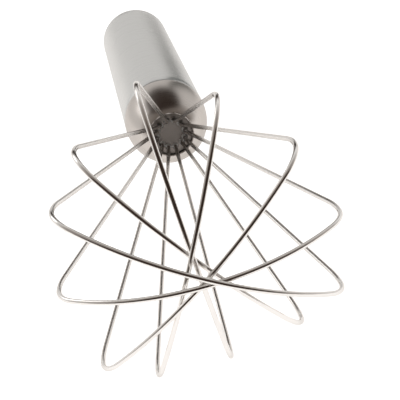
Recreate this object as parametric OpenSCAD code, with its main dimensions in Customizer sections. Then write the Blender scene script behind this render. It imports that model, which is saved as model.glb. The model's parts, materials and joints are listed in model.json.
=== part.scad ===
// Balloon whisk: six sprung wire loops crimped and potted into a hollow steel
// handle, with a loose hanging ring at the rear.
// The whisk lies on a flat surface, z = 0, as it would be put down: the crown
// of the wires points to -Y and the handle to +Y.

/* [Wire head] */
// Diameter of each wire
wire_d = 1.3; // [1:0.1:1.4]
// Mean half width of a loop, at the middle of the wire
head_r = 36; // [34:0.5:39]
// Height of the outermost loop above the mouth of the handle
head_h = 115.7; // [114:0.1:118]
// Height that each further loop gives up, so that it passes under the last one
stack_step = 1.4; // [1.4:0.05:1.6]
// Angle between a straight leg and the axis
leg_angle = 19; // [18:0.5:20]
// Bend radius between the leg and the widest place
hip_r = 22; // [16:1:28]
// Bend radius of the shoulder above the widest place
shoulder_r = 10.5; // [8:0.5:13]
// Radius of the circle on which the wires leave the handle
root_r = 4.5; // [4.4:0.05:4.6]
// Turn of the outermost loop about the axis
first_turn = 150; // [140:1:160]
// Turn from one loop to the next
turn_step = 30; // [29:0.5:31]

/* [Handle] */
// Diameter of the grip tube
tube_d = 27.5; // [26:0.5:30]
// Length of the grip tube
tube_l = 113; // [90:1:130]
// Thickness of the pressed sheet and the tube wall
wall = 1; // [0.8:0.1:1.2]
// Length of the rounded nose
nose_l = 17; // [17:1:20]
// Bend radius of the nose where it turns in to its mouth
knuckle_r = 7; // [6:0.5:8]
// Outer radius of the nose at its mouth
mouth_r = 7.2; // [7.1:0.1:8]
// Height of the rear cap's dome
dome_h = 6; // [4:0.5:8]
// Length of the spigots that centre the nose and the cap in the tube
spigot_l = 8; // [5:1:12]

/* [Hanger] */
// Mean radius of the hanging ring
ring_r = 10.5; // [9.5:0.5:10.5]
// Diameter of the ring's wire
ring_wire_d = 2.4; // [2:0.1:2.4]
// Radius of the eye that holds the ring
eye_r = 5; // [4.5:0.1:6]
// Radius of the hole in the eye
eye_hole_r = 2.4; // [2:0.1:2.6]
// Thickness of the eye
eye_t = 3; // [2.5:0.1:4]

/* [Resting pose] */
// Rise of the whisk's axis towards the crown, when it lies on two wires
lie_pitch = 3.28; // [3.26:0.01:3.3]

/* [Hidden] */

// The loops aren't quite regular, as on any hand-sprung whisk. One row a loop:
// extra turn, lean out of its plane, sway within its plane, extra half width.
UNEVEN = [[-2, 0.5,  3.0,  0.6],
          [ 0, 1.0,  2.5, -0.4],
          [ 5, 2.5,  2.0,  0.4],
          [ 3, 5.0, -1.5, -0.1],
          [ 3, 3.0, -6.0, -0.2],
          [ 6, 0.5, -4.5, -0.6]];

fit_gap = 0.1;           // gap between parts that slide together
bead_rise = 0.04;        // how proud a bead is of the wire, where two bends meet
bead_gap = 0.12;         // half the gap between two stretches inside a bead
plate_t = 2;             // wire plate thickness
plate_in = 1.5;          // how far the plate sits inside the mouth
stem_l = 13;             // wire length inside the handle
core_l = 9;              // core pin length
sleeve_wall = 1;         // wall of the crimped sleeve
resin_l = 9.8;           // depth of the filling behind the wire plate
knuckle_a = 62;          // angle through which the nose turns in, up to its mouth
cap_rim = 2;             // straight rim of the cap before its dome
washer_r = 5;            // radius of the washer inside the cap
washer_t = 1;            // washer thickness
shank_r = 2;             // radius of the shank that holds the eye
rivet_l = 1.2;           // thickness of the shank's riveted head

tube_r = tube_d / 2;
wire_r = wire_d / 2;
tube_front = -nose_l;
// The nose is a wide arc from the tube and a tighter one to the mouth, which meet
// smoothly at the angle nose_a
nose_a = 2 * atan((tube_r - mouth_r - knuckle_r * (1 - cos(knuckle_a)))
                  / (nose_l - knuckle_r * sin(knuckle_a)));
nose_arc_r = knuckle_r + (nose_l - knuckle_r * sin(knuckle_a)) / sin(nose_a);
nose_arc_x = tube_r - nose_arc_r;
knuckle_x = nose_arc_x + (nose_arc_r - knuckle_r) * cos(nose_a);
knuckle_z = -knuckle_r * sin(knuckle_a);
tube_rear = tube_front - tube_l;
dome_z = tube_rear - cap_rim;
dome_arc_r = (tube_r * tube_r + dome_h * dome_h) / (2 * dome_h);
dome_in_r = dome_arc_r - wall;
eye_z = dome_z - dome_h - eye_r - 0.5;
// The washer's edge rests just clear of the curve inside the dome
washer_z = dome_z - dome_h + dome_arc_r - sqrt(dome_in_r * dome_in_r - washer_r * washer_r)
           + fit_gap;
rivet_z = washer_z + washer_t + fit_gap;
// Neck height that sets the rim of the rear cap on the surface
neck_h = tube_r * cos(lie_pitch) - dome_z * sin(lie_pitch);
// Height of the eye's hole, and the slope at which the ring leans on the surface
eye_h = neck_h + eye_z * sin(lie_pitch);
ring_slope = asin((eye_h - ring_wire_d / 2 - fit_gap) / (2 * ring_r));
// Offset that centres the bounding box on the origin
centre_x = 4.1;
centre_y = -22.9;

$fn = 72;

// Whisk axis up (+Z from the mouth to the crown) to lying on the surface
module lay() translate([centre_x, centre_y, neck_h]) rotate([90 - lie_pitch, 0, 0]) children();

// Height of a loop's crown, its half width and the height of its widest place
function loop_h(i) = head_h - i * stack_step;
function loop_w(i) = head_r + UNEVEN[i][3];
function hip_in(i) = loop_w(i) - hip_r * (1 - cos(leg_angle));
function leg_l(i) = (hip_in(i) - root_r) / sin(leg_angle);
function wide_z(i) = leg_l(i) * cos(leg_angle) + hip_r * sin(leg_angle);
// Angle of the shoulder bend that lets the crown arc meet it smoothly
function shoulder_a(i) =
    90 - 2 * atan((loop_h(i) - wide_z(i) - shoulder_r) / (loop_w(i) - shoulder_r));
function crown_r(i) =
    (loop_w(i) - shoulder_r * (1 - cos(shoulder_a(i)))) / cos(shoulder_a(i));

// Where a leg of loop i leaves the handle; side is 1 or -1
function root_at(i, side) =
    let (a = UNEVEN[i][1], b = UNEVEN[i][2], t = first_turn + i * turn_step + UNEVEN[i][0],
         x = side * root_r * cos(b), y = side * root_r * sin(b) * sin(a))
    [x * cos(t) - y * sin(t), x * sin(t) + y * cos(t), -side * root_r * sin(b) * cos(a)];

// Bent wire in the XZ plane, about a centre, from angle a0 to a1, with a bead
// at its end; each stretch stops just short of its neighbour, inside the bead
module bend(x, z, r, a0, a1) {
    trim = asin(bead_gap / r);
    translate([x, 0, z]) rotate([90, 0, 0]) {
        rotate([0, 0, a0 + trim])
            rotate_extrude(angle = a1 - a0 - 2 * trim, $fn = 144)
                translate([r, 0]) circle(wire_r, $fn = 24);
        rotate([0, 0, a1]) translate([r, 0, 0]) rotate([90, 0, 0]) bead();
    }
}

module bead() sphere(wire_r + bead_rise, $fn = 32);

// One side of a loop, from its root up to the crown arc
module loop_side(i) {
    translate([root_r, 0, 0]) rotate([0, leg_angle, 0]) {
        bead();
        translate([0, 0, bead_gap]) cylinder(r = wire_r, h = leg_l(i) - 2 * bead_gap, $fn = 24);
        translate([0, 0, leg_l(i)]) bead();
    }
    bend(loop_w(i) - hip_r, wide_z(i), hip_r, -leg_angle, 0);
    bend(loop_w(i) - shoulder_r, wide_z(i), shoulder_r, 0, shoulder_a(i));
}

module wire_loop(i) color([0.82, 0.8, 0.78]) {
    u = UNEVEN[i];
    a = shoulder_a(i);
    lay() {
        rotate([0, 0, first_turn + i * turn_step + u[0]]) rotate([u[1], 0, 0]) rotate([0, u[2], 0]) {
            loop_side(i);
            mirror([1, 0, 0]) loop_side(i);
            bend(0, loop_h(i) - crown_r(i), crown_r(i), a, 180 - a);
        }
        for (side = [-1, 1]) {
            p = root_at(i, side);
            translate([p[0], p[1], -stem_l])
                cylinder(r = wire_r, h = stem_l + p[2] - bead_gap, $fn = 24);
        }
    }
}

module wire_holes()
    for (i = [0:5], side = [-1, 1]) {
        p = root_at(i, side);
        translate([p[0], p[1], -stem_l]) cylinder(r = wire_r + fit_gap, h = 2 * stem_l, $fn = 24);
    }

// Disc with a hole for each wire end, which closes the mouth
module wire_plate() color([0.55, 0.55, 0.56]) lay() difference() {
    translate([0, 0, -plate_in - plate_t]) cylinder(r = mouth_r - 0.4, h = plate_t);
    wire_holes();
}

// Pin in the middle of the wire ends, which they are squeezed against
module core_pin() color([0.6, 0.6, 0.62]) lay()
    translate([0, 0, -stem_l]) cylinder(r = root_r - wire_r - fit_gap, h = core_l);

// Ring crimped around the wire ends
module clamp_sleeve() color([0.5, 0.5, 0.52]) lay()
    translate([0, 0, -stem_l]) difference() {
        cylinder(r = root_r + wire_r + fit_gap + sleeve_wall, h = core_l - 1);
        translate([0, 0, -1]) cylinder(r = root_r + wire_r + fit_gap, h = core_l + 1);
    }

// Rounded outline of the nose, thinned by cut
module nose_outline(cut) {
    meet_z = tube_front + (nose_arc_r - cut) * sin(nose_a);
    intersection() {
        translate([nose_arc_x, tube_front]) circle(nose_arc_r - cut, $fn = 180);
        translate([0, tube_front]) square([tube_r, meet_z - tube_front]);
    }
    intersection() {
        union() {
            translate([knuckle_x, knuckle_z]) circle(knuckle_r - cut, $fn = 120);
            translate([0, meet_z - 1]) square([knuckle_x, 1 - meet_z]);
        }
        translate([0, meet_z - 0.01]) square([tube_r, 0.01 - meet_z]);
    }
}

// Food-safe filling between the sleeve and the nose, which seals the handle
module potting_resin() color([0.35, 0.34, 0.33]) lay() difference() {
    rotate_extrude() intersection() {
        nose_outline(wall + 0.02);
        translate([0, -plate_in - plate_t - 0.1 - resin_l]) square([tube_r, resin_l]);
    }
    translate([0, 0, -stem_l - fit_gap])
        cylinder(r = root_r + wire_r + 2 * fit_gap + sleeve_wall, h = 2 * stem_l);
}

module handle_nose() color([0.72, 0.71, 0.69]) lay() {
    rotate_extrude() difference() {
        nose_outline(0);
        nose_outline(wall);
        translate([0, -wall]) square([mouth_r - wall, 2 * wall]);
    }
    // Spigot that slips into the tube, rooted in the curve of the nose
    translate([0, 0, tube_front - spigot_l]) difference() {
        cylinder(r = tube_r - wall - fit_gap / 2, h = spigot_l + nose_l / 5);
        translate([0, 0, -1]) cylinder(r = tube_r - 2 * wall, h = spigot_l + nose_l);
    }
}

module handle_tube() color([0.8, 0.8, 0.8]) lay()
    translate([0, 0, tube_rear]) difference() {
        cylinder(r = tube_r, h = tube_l);
        translate([0, 0, -1]) cylinder(r = tube_r - wall, h = tube_l + 2);
    }

// Outline of the domed cap, thinned by cut
module dome_outline(cut) intersection() {
    translate([0, dome_z - dome_h + dome_arc_r]) circle(dome_arc_r - cut, $fn = 180);
    translate([0, dome_z - dome_h]) square([tube_r - cut, dome_h + cap_rim]);
}

module rear_cap() color([0.78, 0.78, 0.78]) lay() difference() {
    union() {
        rotate_extrude() difference() {
            dome_outline(0);
            dome_outline(wall);
        }
        // Spigot that slips into the tube, rooted in the curve of the dome
        translate([0, 0, dome_z - wall / 3]) difference() {
            cylinder(r = tube_r - wall - fit_gap / 2, h = spigot_l + cap_rim);
            translate([0, 0, -1]) cylinder(r = tube_r - 2 * wall, h = 2 * spigot_l);
        }
    }
    // Hole for the shank of the eye
    translate([0, 0, dome_z - 2 * dome_h]) cylinder(r = shank_r + fit_gap / 2, h = 2 * dome_h);
}

// Flat eye on a shank that is riveted over a washer inside the cap
module hanging_eye() color([0.7, 0.7, 0.72]) lay() {
    difference() {
        union() {
            translate([-eye_t / 2, 0, eye_z]) rotate([0, 90, 0]) cylinder(r = eye_r, h = eye_t);
            translate([0, 0, eye_z + eye_hole_r + 0.8])
                cylinder(r = shank_r, h = rivet_z - eye_z - eye_hole_r - 0.4);
        }
        translate([-eye_t, 0, eye_z]) rotate([0, 90, 0]) cylinder(r = eye_hole_r, h = 2 * eye_t);
    }
    translate([0, 0, rivet_z]) cylinder(r = shank_r + 1, h = rivet_l);
}

module eye_washer() color([0.5, 0.5, 0.52]) lay()
    translate([0, 0, washer_z]) difference() {
        cylinder(r = washer_r, h = washer_t);
        translate([0, 0, -1]) cylinder(r = shank_r + fit_gap / 2, h = washer_t + 2);
    }

// Loose ring through the eye, leaning on the surface behind the handle
module hanging_ring() color([0.75, 0.75, 0.76])
    lay() translate([0, 0, eye_z]) rotate([lie_pitch - ring_slope, 0, 0])
        translate([0, 0, -ring_r]) rotate([90, 0, 0]) rotate_extrude($fn = 96)
            translate([ring_r, 0]) circle(ring_wire_d / 2, $fn = 32);

wire_loop(0);  // wire_loop_1
wire_loop(1);  // wire_loop_2
wire_loop(2);  // wire_loop_3
wire_loop(3);  // wire_loop_4
wire_loop(4);  // wire_loop_5
wire_loop(5);  // wire_loop_6
wire_plate();
core_pin();
clamp_sleeve();
potting_resin();
handle_nose();
handle_tube();
rear_cap();
hanging_eye();
eye_washer();
hanging_ring();
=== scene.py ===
"""Balloon whisk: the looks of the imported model, seen from the photograph's angle."""
import json
import math

import bmesh
import bpy
from mathutils import Matrix, Vector


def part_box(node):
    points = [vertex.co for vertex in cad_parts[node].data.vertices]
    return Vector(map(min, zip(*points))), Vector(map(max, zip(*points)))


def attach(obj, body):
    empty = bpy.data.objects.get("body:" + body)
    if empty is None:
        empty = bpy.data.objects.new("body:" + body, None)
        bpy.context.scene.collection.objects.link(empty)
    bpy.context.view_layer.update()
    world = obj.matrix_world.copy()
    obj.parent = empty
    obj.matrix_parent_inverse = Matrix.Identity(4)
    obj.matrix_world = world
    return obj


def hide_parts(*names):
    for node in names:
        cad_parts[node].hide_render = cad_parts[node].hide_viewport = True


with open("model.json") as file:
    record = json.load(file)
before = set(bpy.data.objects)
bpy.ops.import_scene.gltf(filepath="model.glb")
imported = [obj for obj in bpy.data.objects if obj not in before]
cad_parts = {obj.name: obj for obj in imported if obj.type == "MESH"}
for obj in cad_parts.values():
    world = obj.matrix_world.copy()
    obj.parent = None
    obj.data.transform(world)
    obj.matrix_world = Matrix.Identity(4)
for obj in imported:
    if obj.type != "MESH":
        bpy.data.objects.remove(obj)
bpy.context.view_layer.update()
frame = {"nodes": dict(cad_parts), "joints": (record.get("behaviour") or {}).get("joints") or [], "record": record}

MM = 0.001

# Camera: lens, place and angles, from a fit of the wires to the photograph
LENS = 101.6
SENSOR = 36.0
CAMERA_AT = (-0.00514, -0.35936, 0.15890)
CAMERA_AZIMUTH = math.radians(-2.08)
CAMERA_ELEVATION = math.radians(25.81)
CAMERA_ROLL = math.radians(-16.07)

# Wire head, the same values as in the CAD source, in millimetres
WIRE_R = 0.65
HEAD_R = 36.0
HEAD_H = 115.7
STACK_STEP = 1.4
LEG_ANGLE = math.radians(19)
HIP_R = 22.0
SHOULDER_R = 10.5
ROOT_R = 4.5
FIRST_TURN = 150
TURN_STEP = 30
# One row a loop: extra turn, lean and sway in degrees, extra half width in millimetres.
# They repeat the CAD source's rows: a fit by another program, rounded, and one width given outside the fit.
UNEVEN = ((-2, 0.5, 3.0, 0.6),
          (0, 1.0, 2.5, -0.4),
          (5, 2.5, 2.0, 0.4),
          (3, 5.0, -1.5, -0.1),
          (3, 3.0, -6.0, -0.2),
          (6, 0.5, -4.5, -0.6))
STEM_L = 13.0
STEM_BREAK = 6.0  # depth of the stem's middle point
BEND_L = 2.2  # length over which a wire bends from the stem into the leg
LEG_STEPS = 12
BEND_STEPS = 8

# Braze collar round a wire: share of the wire's radius, height above the plate
COLLAR = ((0.98, 0.75), (1.12, 0.38), (1.35, 0.16), (1.7, 0.0), (1.7, -0.1), (0.98, -0.1))
COLLAR_SIDES = 20

# Handle, in millimetres
NOSE_L = 17.0
MOUTH_R = 7.2
KNUCKLE_R = 7.0
KNUCKLE_A = math.radians(62)
WALL = 1.0
DOME_H = 6.0
CAP_RIM = 2.0
CAP_KNUCKLE_R = 3.0  # eases the rim into the dome
CAP_HOLE_A = 0.11  # half angle of the shank's hole, seen from the dome's centre
SPIGOT_L = 8.0
SPIGOT_GAP = 0.05
SEAM_GAP = 0.02
SEAM_GROOVE = 0.18
EDGE = 0.2  # size of a broken edge
LIP_R = 0.4  # rounded lip of the mouth
LIP_BACK = 0.06  # angle by which the outside stops short of the mouth, for the lip
TURNED_STEPS = 160
TUBE_ROWS = 24
EYE_R = 5.0
EYE_HOLE_R = 2.4
EYE_T = 3.0
EYE_SOFT = 0.6
EYE_NECK = 0.5  # how far the eye stands off the dome
AXIS_R = 0.001  # an outline stops this short of its axis, so that the lathe stays simple
RING_WIRE_R = 1.2
PLATE_IN = 1.5

# Eye's shank: radius, and distance inwards from the dome's outer top (outwards if negative).
# In order: rivet head, shank, collar, neck.
SHANK = ((AXIS_R, 4.1), (2.2, 4.1), (2.9, 3.8), (3.0, 2.95), (2.0, 2.95), (2.0, 0.0),
         (3.2, -0.02), (3.2, -0.35), (2.5, -0.7), (2.0, -1.3), (1.9, -2.2), (AXIS_R, -2.2))

grip = next(m for m in frame["record"]["mounts"] if m["name"] == "grip")
TUBE_R = grip["dims"]["r_mm"]
TUBE_L = grip["dims"]["length_mm"]
TUBE_REAR = -NOSE_L - TUBE_L
SPIGOT_R = TUBE_R - WALL - SPIGOT_GAP
SPIGOT_IN_R = TUBE_R - 2 * WALL
DOME_Z = TUBE_REAR - CAP_RIM
EYE_Z = DOME_Z - DOME_H - EYE_R - EYE_NECK


def whisk_frame():
    """The matrix from whisk millimetres (+Z from the mouth to the crown) to the row frame."""
    axis = -Vector(grip["axis"]).normalized()
    mid = Vector(grip["pos_m"])
    neck = mid + axis * (NOSE_L + TUBE_L / 2) * MM
    side = Vector((1, 0, 0))
    rot = Matrix((side, axis.cross(side), axis)).transposed().to_4x4()
    return Matrix.Translation(neck) @ rot @ Matrix.Scale(MM, 4)


WHISK = whisk_frame()


def make_camera():
    """The camera at the photograph's viewing angle."""
    cam = bpy.data.cameras.new("camera")
    cam.lens = LENS
    cam.sensor_width = SENSOR
    cam.clip_start = 0.01
    cam.clip_end = 50
    obj = bpy.data.objects.new("camera", cam)
    bpy.context.scene.collection.objects.link(obj)
    turn = Matrix.Rotation(CAMERA_AZIMUTH, 4, "Z")
    tilt = Matrix.Rotation(math.pi / 2 - CAMERA_ELEVATION, 4, "X")
    roll = Matrix.Rotation(CAMERA_ROLL, 4, "Z")
    obj.matrix_world = Matrix.Translation(CAMERA_AT) @ turn @ tilt @ roll
    bpy.context.scene.camera = obj


# ---------------------------------------------------------------- meshes

def arc(cx, cz, r, a0, a1, n):
    """Points on an arc in the (radius, z) plane, n steps, both ends included."""
    return [(cx + r * math.cos(a0 + (a1 - a0) * i / n), cz + r * math.sin(a0 + (a1 - a0) * i / n))
            for i in range(n + 1)]


def add_object(name, bm, material, body="whisk"):
    """A smooth-shaded piece from a bmesh, which rides on a body."""
    mesh = bpy.data.meshes.new(name)
    bmesh.ops.recalc_face_normals(bm, faces=bm.faces)
    bm.to_mesh(mesh)
    bm.free()
    for poly in mesh.polygons:
        poly.use_smooth = True
    obj = bpy.data.objects.new(name, mesh)
    bpy.context.scene.collection.objects.link(obj)
    mesh.materials.append(material)
    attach(obj, body)
    return obj


def lathe(profile, steps, place=WHISK, bm=None):
    """Turn a closed (radius, z) outline about the z axis of place, into bm or a new bmesh."""
    bm = bm or bmesh.new()
    rings = []
    for k in range(steps):
        a = 2 * math.pi * k / steps
        rings.append([bm.verts.new(place @ Vector((r * math.cos(a), r * math.sin(a), z)))
                      for r, z in profile])
    n = len(profile)
    for k in range(steps):
        p, q = rings[k], rings[(k + 1) % steps]
        for i in range(n):
            j = (i + 1) % n
            bm.faces.new((p[i], q[i], q[j], p[j]))
    return bm


def sweep(points, radius, sides=20, closed=False):
    """A round tube along points, with a UV map: u runs along it in millimetres, v around it."""
    bm = bmesh.new()
    uv = bm.loops.layers.uv.new("UVMap")
    n = len(points)
    tangents = []
    for i in range(n):
        a = points[(i - 1) % n] if closed else points[max(i - 1, 0)]
        b = points[(i + 1) % n] if closed else points[min(i + 1, n - 1)]
        tangents.append((b - a).normalized())
    normal = tangents[0].orthogonal().normalized()
    rings, lengths, run = [], [], 0.0
    for i, p in enumerate(points):
        if i:
            normal = (normal - tangents[i] * normal.dot(tangents[i])).normalized()
            run += (p - points[i - 1]).length
        lengths.append(run / MM)
        other = tangents[i].cross(normal)
        rings.append([bm.verts.new(p + (normal * math.cos(t) + other * math.sin(t)) * radius)
                      for t in (2 * math.pi * k / sides for k in range(sides))])
    last = n if closed else n - 1
    for i in range(last):
        p, q = rings[i], rings[(i + 1) % n]
        for k in range(sides):
            m = (k + 1) % sides
            face = bm.faces.new((p[k], p[m], q[m], q[k]))
            u0 = lengths[i]
            u1 = lengths[i + 1] if i + 1 < n else run / MM + 1
            for loop, at in zip(face.loops, ((u0, k), (u0, k + 1), (u1, k + 1), (u1, k))):
                loop[uv].uv = (at[0], at[1] / sides)
    if not closed:
        bm.faces.new(rings[0])
        bm.faces.new(list(reversed(rings[-1])))
    return bm


# ---------------------------------------------------------------- wires

def half_loop(i):
    """One side of loop i in its own plane, from the root to the crown, as (x, z) in millimetres."""
    wide = HEAD_R + UNEVEN[i][3]
    high = HEAD_H - i * STACK_STEP
    leg = (wide - HIP_R * (1 - math.cos(LEG_ANGLE)) - ROOT_R) / math.sin(LEG_ANGLE)
    wide_z = leg * math.cos(LEG_ANGLE) + HIP_R * math.sin(LEG_ANGLE)
    shoulder = math.pi / 2 - 2 * math.atan((high - wide_z - SHOULDER_R) / (wide - SHOULDER_R))
    crown_r = (wide - SHOULDER_R * (1 - math.cos(shoulder))) / math.cos(shoulder)
    pts = [(ROOT_R + leg * math.sin(LEG_ANGLE) * k / LEG_STEPS,
            leg * math.cos(LEG_ANGLE) * k / LEG_STEPS) for k in range(LEG_STEPS)]
    pts += arc(wide - HIP_R, wide_z, HIP_R, -LEG_ANGLE, 0, 8)
    pts += arc(wide - SHOULDER_R, wide_z, SHOULDER_R, 0, shoulder, 18)[1:]
    pts += arc(0, high - crown_r, crown_r, shoulder, math.pi / 2, 16)[1:]
    return pts


def loop_path(i):
    """Wire loop i's path in the row frame, from one hidden end to the other, and its two roots."""
    turn, lean, sway, _ = UNEVEN[i]
    spin = (Matrix.Rotation(math.radians(FIRST_TURN + i * TURN_STEP + turn), 4, "Z")
            @ Matrix.Rotation(math.radians(lean), 4, "X")
            @ Matrix.Rotation(math.radians(sway), 4, "Y"))
    half = half_loop(i)
    flat = half + [(-x, z) for x, z in reversed(half[:-1])]
    pts = [spin @ Vector((x, 0, z)) for x, z in flat]

    def stem(root, nxt):
        out = (nxt - root).normalized()
        down = Vector((0, 0, -1))
        start, end = root + down * BEND_L, root + out * BEND_L
        curve = [start * (1 - t) ** 2 + root * 2 * t * (1 - t) + end * t * t
                 for t in (k / BEND_STEPS for k in range(BEND_STEPS + 1))]
        straight = [Vector((root.x, root.y, -STEM_L)), Vector((root.x, root.y, -STEM_BREAK))]
        return straight + curve

    head = stem(pts[0], pts[1])
    tail = stem(pts[-1], pts[-2])
    body = pts[1:-1]
    return [WHISK @ p for p in head + body + list(reversed(tail))], (pts[0], pts[-1])


# ---------------------------------------------------------------- materials

NOISE_LOW, NOISE_HIGH = 0.3, 0.7  # the span that most of a noise texture's values fall in


def new_material(name):
    """A material, its nodes and links, and its Principled shader."""
    mat = bpy.data.materials.new(name)
    mat.use_nodes = True
    nodes, links = mat.node_tree.nodes, mat.node_tree.links
    return mat, nodes, links, nodes["Principled BSDF"]


def steel(name, colour, roughness, spread, scale, bump, smudge=0.05, coords="Object", edge=0.75):
    """Stainless steel: fine lines from stretched noise, faint smudges and a little roughness spread.

    edge is how bright it stays where it is seen at a slant.
    """
    mat, nodes, links, bsdf = new_material(name)
    bsdf.inputs["Metallic"].default_value = 1.0
    bsdf.inputs["Specular Tint"].default_value = (edge, edge * 0.98, edge * 0.96, 1)
    coord = nodes.new("ShaderNodeTexCoord")
    mapping = nodes.new("ShaderNodeMapping")
    mapping.inputs["Scale"].default_value = scale
    links.new(coord.outputs[coords], mapping.inputs["Vector"])
    lines = nodes.new("ShaderNodeTexNoise")
    lines.inputs["Scale"].default_value = 1.0
    lines.inputs["Detail"].default_value = 5.0
    lines.inputs["Roughness"].default_value = 0.65
    links.new(mapping.outputs["Vector"], lines.inputs["Vector"])
    smear = nodes.new("ShaderNodeTexNoise")
    smear.inputs["Scale"].default_value = 55.0
    smear.inputs["Detail"].default_value = 3.0
    links.new(coord.outputs["Object"], smear.inputs["Vector"])
    total = nodes.new("ShaderNodeMath")
    total.operation = "MULTIPLY_ADD"
    total.inputs[1].default_value = smudge
    links.new(smear.outputs["Fac"], total.inputs[0])
    rough = nodes.new("ShaderNodeMapRange")
    rough.inputs["From Min"].default_value = NOISE_LOW
    rough.inputs["From Max"].default_value = NOISE_HIGH
    rough.inputs["To Min"].default_value = roughness - spread
    rough.inputs["To Max"].default_value = roughness + spread
    links.new(lines.outputs["Fac"], rough.inputs["Value"])
    links.new(rough.outputs["Result"], total.inputs[2])
    links.new(total.outputs["Value"], bsdf.inputs["Roughness"])
    tint = nodes.new("ShaderNodeMapRange")
    tint.data_type = "FLOAT_VECTOR"
    # Inputs 6 to 10 are the vector forms of Value, From Min, From Max, To Min and To Max
    tint.inputs[7].default_value = (NOISE_LOW,) * 3
    tint.inputs[8].default_value = (NOISE_HIGH,) * 3
    tint.inputs[9].default_value = tuple(c * 0.97 for c in colour)
    tint.inputs[10].default_value = tuple(min(1.0, c * 1.02) for c in colour)
    links.new(lines.outputs["Fac"], tint.inputs[6])
    links.new(tint.outputs[1], bsdf.inputs["Base Color"])
    relief = nodes.new("ShaderNodeBump")
    relief.inputs["Strength"].default_value = bump
    relief.inputs["Distance"].default_value = 0.00005
    links.new(lines.outputs["Fac"], relief.inputs["Height"])
    links.new(relief.outputs["Normal"], bsdf.inputs["Normal"])
    return mat


def resin_material():
    """Dull dark filling, a little uneven in colour."""
    mat, nodes, links, bsdf = new_material("resin")
    noise = nodes.new("ShaderNodeTexNoise")
    noise.inputs["Scale"].default_value = 900.0
    ramp = nodes.new("ShaderNodeValToRGB")
    ramp.color_ramp.elements[0].color = (0.09, 0.085, 0.08, 1)
    ramp.color_ramp.elements[1].color = (0.15, 0.145, 0.14, 1)
    coord = nodes.new("ShaderNodeTexCoord")
    links.new(coord.outputs["Object"], noise.inputs["Vector"])
    links.new(noise.outputs["Fac"], ramp.inputs["Fac"])
    links.new(ramp.outputs["Color"], bsdf.inputs["Base Color"])
    bsdf.inputs["Roughness"].default_value = 0.55
    return mat


def make_materials():
    """The materials by slot: name, colour, roughness, its spread, line scale, bump and the rest."""
    along = (0.6, 14, 1)  # lines along a drawn wire
    return {
        "wire": steel("polished_wire", (0.76, 0.735, 0.71), 0.14, 0.03, along, 0.15,
                      smudge=0.04, coords="UV", edge=0.72),
        "handle": steel("satin_tube", (0.60, 0.605, 0.595), 0.27, 0.04, (30, 2600, 30), 0.12),
        # The nose's steel is darker and browner than the tube's: painted shade and painted reflection of the dark
        # warm room, on the same steel.
        "nose": steel("satin_nose_painted_shade", (0.50, 0.465, 0.435), 0.27, 0.03, (30, 1500, 30), 0.08),
        # The plate's steel is made much darker than the rest: painted shade for the hollow of the mouth.
        "plate": steel("plate_painted_shade", (0.20, 0.18, 0.165), 0.45, 0.06, (500, 500, 500), 0.3),
        "fittings": steel("plain_steel", (0.55, 0.545, 0.535), 0.30, 0.05, (500, 500, 500), 0.15),
        "ring": steel("polished_ring", (0.70, 0.69, 0.68), 0.16, 0.04, along, 0.15,
                      coords="UV", edge=0.5),
        "resin": resin_material(),
    }


# ---------------------------------------------------------------- pieces

def make_wires(mats):
    """The six sprung loops; returns the twelve places where they leave the plate."""
    roots = []
    for i in range(len(UNEVEN)):
        path, ends = loop_path(i)
        roots.extend(ends)
        obj = add_object(f"sprung_wire_{i + 1}", sweep(path, WIRE_R * MM), mats["wire"])
        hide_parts(f"wire_loop_{i + 1}")
    return roots


def make_collars(mats, roots):
    """A small collar of braze around each wire, where it comes out of the plate."""
    bm = bmesh.new()
    outline = [(WIRE_R * share, z) for share, z in COLLAR]
    for root in roots:
        lathe(outline, COLLAR_SIDES, WHISK @ Matrix.Translation((root.x, root.y, -PLATE_IN)), bm)
    obj = add_object("braze_collars", bm, mats["fittings"])


def broken_edge(z, side):
    """Points that ease the handle's outer edge at z; side is -1 if the metal is below it, or 1."""
    return [(TUBE_R - EDGE, z), (TUBE_R - EDGE * 0.3, z + side * EDGE * 0.3), (TUBE_R, z + side * EDGE)]


def make_nose(mats):
    """The nose is a wide arc from the tube and a tighter one to the mouth, with a rounded lip."""
    reach = NOSE_L - KNUCKLE_R * math.sin(KNUCKLE_A)
    meet = 2 * math.atan((TUBE_R - MOUTH_R - KNUCKLE_R * (1 - math.cos(KNUCKLE_A))) / reach)
    wide = KNUCKLE_R + reach / math.sin(meet)
    wide_x = TUBE_R - wide
    tight_x = wide_x + (wide - KNUCKLE_R) * math.cos(meet)
    tight_z = -KNUCKLE_R * math.sin(KNUCKLE_A)
    start = math.asin(SEAM_GROOVE / wide)
    lip = LIP_R
    end = KNUCKLE_A - LIP_BACK
    outer = arc(wide_x, -NOSE_L, wide, start, meet, 20)
    outer += arc(tight_x, tight_z, KNUCKLE_R, meet, end, 20)[1:]
    lip_x, lip_z = outer[-1]
    lip_x -= lip * math.cos(end)
    lip_z -= lip * math.sin(end)
    outer += arc(lip_x, lip_z, lip, end, math.pi, 10)[1:]
    inner_end = math.acos((lip_x - lip - tight_x) / (KNUCKLE_R - WALL))
    inner = arc(tight_x, tight_z, KNUCKLE_R - WALL, inner_end, meet, 8)
    thin = wide - WALL
    step = NOSE_L / 5  # how far inside the nose its spigot begins
    root = -NOSE_L + step
    inner += arc(wide_x, -NOSE_L, thin, meet, math.asin(step / thin), 8)[1:]
    seam = -NOSE_L + SEAM_GAP
    spigot = [(SPIGOT_IN_R, root), (SPIGOT_IN_R, -NOSE_L - SPIGOT_L), (SPIGOT_R, -NOSE_L - SPIGOT_L),
              (SPIGOT_R, seam), (TUBE_R - SEAM_GROOVE, seam)]
    obj = add_object("rolled_nose", lathe(outer + inner + spigot, TURNED_STEPS), mats["nose"])
    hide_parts("handle_nose")


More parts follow.
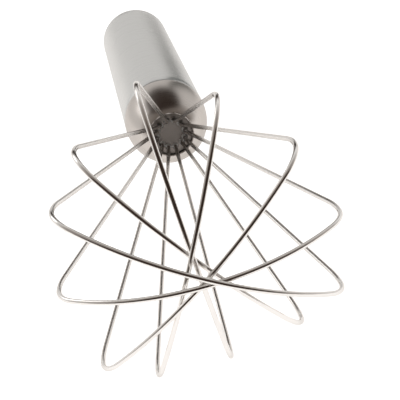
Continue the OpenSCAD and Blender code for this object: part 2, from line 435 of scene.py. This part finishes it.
def make_tube(mats):
    """The straight grip, with its edges broken at both seams."""
    front, rear = -NOSE_L - SEAM_GAP, TUBE_REAR + SEAM_GAP
    outline = broken_edge(front, -1)
    outline += [(TUBE_R, front - EDGE - (TUBE_L - 2 * EDGE) * k / TUBE_ROWS)
                for k in range(1, TUBE_ROWS)]
    outline += reversed(broken_edge(rear, 1))
    outline += [(TUBE_R - WALL, rear), (TUBE_R - WALL, front)]
    obj = add_object("satin_tube", lathe(outline, TURNED_STEPS), mats["handle"])
    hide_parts("handle_tube")


def make_cap(mats):
    """The rear cap: a rim, a tight arc into a wide dome, and the spigot inside the tube."""
    top = TUBE_REAR - SEAM_GAP
    big = (TUBE_R * TUBE_R + DOME_H * DOME_H) / (2 * DOME_H)
    centre = DOME_Z - DOME_H + big
    k_x = TUBE_R - CAP_KNUCKLE_R
    k_z = centre - math.sqrt((big - CAP_KNUCKLE_R) ** 2 - k_x ** 2)
    meet = math.atan2(k_z - centre, k_x)
    hole = -math.pi / 2 + CAP_HOLE_A
    outline = [(SPIGOT_R, top)] + broken_edge(top, -1)
    outline += arc(k_x, k_z, CAP_KNUCKLE_R, 0, meet, 10)
    outline += arc(0, centre, big, meet, hole, 20)[1:]
    thin = big - WALL
    outline += arc(0, centre, thin, hole, -math.acos(SPIGOT_IN_R / thin), 12)
    outline += [(SPIGOT_IN_R, TUBE_REAR + SPIGOT_L), (SPIGOT_R, TUBE_REAR + SPIGOT_L)]
    obj = add_object("domed_cap", lathe(outline, TURNED_STEPS), mats["handle"])
    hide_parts("rear_cap")


def make_eye(mats):
    """Turned shank with a collar against the cap, and a flat eye with rounded edges."""
    apex = DOME_Z - DOME_H
    bm = lathe([(r, apex + z) for r, z in SHANK], 48)
    high = EYE_T / 2 - EYE_SOFT
    outer, inner = EYE_R - EYE_SOFT, EYE_HOLE_R + EYE_SOFT
    outline = []
    for quarter, (r, z) in enumerate(((outer, high), (inner, high), (inner, -high), (outer, -high))):
        start = quarter * math.pi / 2
        outline += arc(r, z, EYE_SOFT, start, start + math.pi / 2, 5)
    place = WHISK @ Matrix.Translation((0, 0, EYE_Z)) @ Matrix.Rotation(math.pi / 2, 4, "Y")
    lathe(outline, 64, place, bm)
    obj = add_object("turned_eye", bm, mats["fittings"])
    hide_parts("hanging_eye")


def make_ring(mats):
    """The loose ring: its circle runs through the joint, and its CAD node's box gives the rest."""
    joint = frame["joints"][0]
    eye = Vector(joint["pos_m"])
    low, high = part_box("hanging_ring")
    radius = (high.x - low.x) / 2 - RING_WIRE_R * MM
    far = Vector((eye.x, high.y - RING_WIRE_R * MM, low.z + RING_WIRE_R * MM))
    back = (far - eye).normalized()
    centre = eye + back * radius
    side = Vector((1, 0, 0))
    steps = 144
    pts = [centre + (side * math.sin(a) - back * math.cos(a)) * radius
           for a in (2 * math.pi * k / steps for k in range(steps))]
    bm = sweep(pts, RING_WIRE_R * MM, sides=24, closed=True)
    obj = add_object("bent_ring", bm, mats["ring"], "ring")
    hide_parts("hanging_ring")


def dress_cad(mats):
    """CAD nodes that stay: the plate in the mouth and the parts inside the handle."""
    for node, slot in (("wire_plate", "plate"), ("core_pin", "fittings"), ("clamp_sleeve", "fittings"),
                       ("eye_washer", "fittings"), ("potting_resin", "resin")):
        mesh = frame["nodes"][node].data
        mesh.materials.clear()
        mesh.materials.append(mats[slot])


# ---------------------------------------------------------------- stage

FLOOR_FRONT = -0.20
FLOOR_REACH = 3.0
FLOOR_GLOW = 0.75
BACKDROP = 1.15  # white of the backdrop, overexposed
DARK_CARD = (0.035, 0.022, 0.016)
SIDE_CARD = (0.12, 0.128, 0.12)


def add_stage_sheet(name, corners, material):
    """A four-cornered sheet, with a UV map, that isn't part of the object."""
    bm = bmesh.new()
    face = bm.faces.new([bm.verts.new(c) for c in corners])
    uv = bm.loops.layers.uv.new("UVMap")
    for loop, at in zip(face.loops, ((0, 0), (1, 0), (1, 1), (0, 1))):
        loop[uv].uv = at
    mesh = bpy.data.meshes.new(name)
    bm.to_mesh(mesh)
    bm.free()
    sheet = bpy.data.objects.new(name, mesh)
    bpy.context.scene.collection.objects.link(sheet)
    mesh.materials.append(material)
    return sheet


def make_floor():
    """An overexposed white table top that ends a little in front of the wires."""
    mat, nodes, links, bsdf = new_material("pale_floor")
    bsdf.inputs["Base Color"].default_value = (0.93, 0.93, 0.93, 1)
    bsdf.inputs["Roughness"].default_value = 0.9
    bsdf.inputs["Emission Color"].default_value = (1, 1, 1, 1)
    bsdf.inputs["Emission Strength"].default_value = FLOOR_GLOW
    low, high = FLOOR_FRONT, FLOOR_REACH
    add_stage_sheet("floor", ((-high, low, 0), (high, low, 0), (high, high, 0), (-high, high, 0)), mat)


def add_card(name, colour, corners, solid):
    """A soft-edged card that nothing but a reflection in the steel shows.

    solid is the share of it, from the middle out, that is at full strength.
    """
    mat = bpy.data.materials.new(name)
    mat.use_nodes = True
    nodes, links = mat.node_tree.nodes, mat.node_tree.links
    nodes.remove(nodes["Principled BSDF"])
    coord = nodes.new("ShaderNodeTexCoord")
    centred = nodes.new("ShaderNodeMapping")
    centred.inputs["Location"].default_value = (-1, -1, 0)
    centred.inputs["Scale"].default_value = (2, 2, 1)
    links.new(coord.outputs["UV"], centred.inputs["Vector"])
    fade = nodes.new("ShaderNodeTexGradient")
    fade.gradient_type = "SPHERICAL"
    links.new(centred.outputs["Vector"], fade.inputs["Vector"])
    soft = nodes.new("ShaderNodeMapRange")
    soft.interpolation_type = "SMOOTHSTEP"
    soft.inputs["From Max"].default_value = 1 - solid
    links.new(fade.outputs["Fac"], soft.inputs["Value"])
    glow = nodes.new("ShaderNodeEmission")
    glow.inputs["Color"].default_value = (*colour, 1)
    clear = nodes.new("ShaderNodeBsdfTransparent")
    blend = nodes.new("ShaderNodeMixShader")
    links.new(soft.outputs["Result"], blend.inputs["Fac"])
    links.new(clear.outputs["BSDF"], blend.inputs[1])
    links.new(glow.outputs["Emission"], blend.inputs[2])
    links.new(blend.outputs["Shader"], nodes["Material Output"].inputs["Surface"])
    card = add_stage_sheet(name, corners, mat)
    card.visible_camera = False
    card.visible_diffuse = False
    card.visible_shadow = False


def make_cards():
    """Three cards: in front of the wires, just above the nose, and to the right of the handle."""
    left, right, low, high, at = -0.38, 0.38, -0.02, 0.20, -0.25
    add_card("front_card", DARK_CARD,
             ((left, at, low), (right, at, low), (right, at, high), (left, at, high)), 0.6)
    near, far, left, right, high = -0.085, 0.11, -0.10, 0.12, 0.105
    add_card("nose_card", DARK_CARD,
             ((left, near, high), (right, near, high), (right, far, high), (left, far, high)), 0.5)
    near, far, left, right, low, high = 0.04, 0.90, 0.10, 0.25, -0.45, 0.45
    add_card("side_card", SIDE_CARD,
             ((left, near, low), (right, far, low), (right, far, high), (left, near, high)), 0.45)


# The room that the steel mirrors: cosine of the angle to the dark side, colour
DARK_SIDE = Vector((0.05, -0.97, 0.24)).normalized()
ROOM = ((-1.0, (1.00, 0.99, 0.98)),
        (-0.45, (0.97, 0.96, 0.95)),
        (0.0, (0.64, 0.62, 0.60)),
        (0.25, (0.44, 0.41, 0.385)),
        (0.60, (0.30, 0.27, 0.25)),
        (0.88, (0.24, 0.205, 0.18)))


def make_world():
    """A bright studio whose camera side is a dark warm room, which the steel mirrors."""
    world = bpy.data.worlds.new("studio")
    bpy.context.scene.world = world
    world.use_nodes = True
    nodes, links = world.node_tree.nodes, world.node_tree.links
    back = nodes["Background"]
    coord = nodes.new("ShaderNodeTexCoord")
    dot = nodes.new("ShaderNodeVectorMath")
    dot.operation = "DOT_PRODUCT"
    dot.inputs[1].default_value = DARK_SIDE
    links.new(coord.outputs["Generated"], dot.inputs[0])
    span = nodes.new("ShaderNodeMapRange")
    span.inputs["From Min"].default_value = -1.0
    links.new(dot.outputs["Value"], span.inputs["Value"])
    ramp = nodes.new("ShaderNodeValToRGB")
    ramp.color_ramp.interpolation = "EASE"
    stops = ramp.color_ramp.elements
    while len(stops) < len(ROOM):
        stops.new(0.5)
    for stop, (value, colour) in zip(stops, ROOM):
        stop.position = (value + 1) / 2
        stop.color = (*colour, 1)
    links.new(span.outputs["Result"], ramp.inputs["Fac"])
    path = nodes.new("ShaderNodeLightPath")
    mix = nodes.new("ShaderNodeMixRGB")
    mix.inputs["Color2"].default_value = (BACKDROP, BACKDROP, BACKDROP, 1)
    links.new(path.outputs["Is Camera Ray"], mix.inputs["Fac"])
    links.new(ramp.outputs["Color"], mix.inputs["Color1"])
    links.new(mix.outputs["Color"], back.inputs["Color"])
    back.inputs["Strength"].default_value = 1.0


def make_light():
    """One weak round soft light, behind the whisk on the left."""
    data = bpy.data.lights.new("back_left", "AREA")
    data.shape = "DISK"
    data.size = 0.7
    data.energy = 1.5
    obj = bpy.data.objects.new("back_left", data)
    bpy.context.scene.collection.objects.link(obj)
    at, target = Vector((-0.7, 0.6, 0.8)), Vector((0, 0, 0.03))
    obj.location = at
    obj.rotation_euler = (target - at).to_track_quat("-Z", "Y").to_euler()


def make_view():
    """Plain colours, without a filmic curve."""
    scene = bpy.context.scene
    scene.view_settings.view_transform = "Standard"
    scene.view_settings.look = "None"


make_camera()
make_world()
make_light()
make_view()
make_floor()
make_cards()
materials = make_materials()
wire_roots = make_wires(materials)
make_collars(materials, wire_roots)
make_nose(materials)
make_tube(materials)
make_cap(materials)
make_eye(materials)
make_ring(materials)
dress_cad(materials)
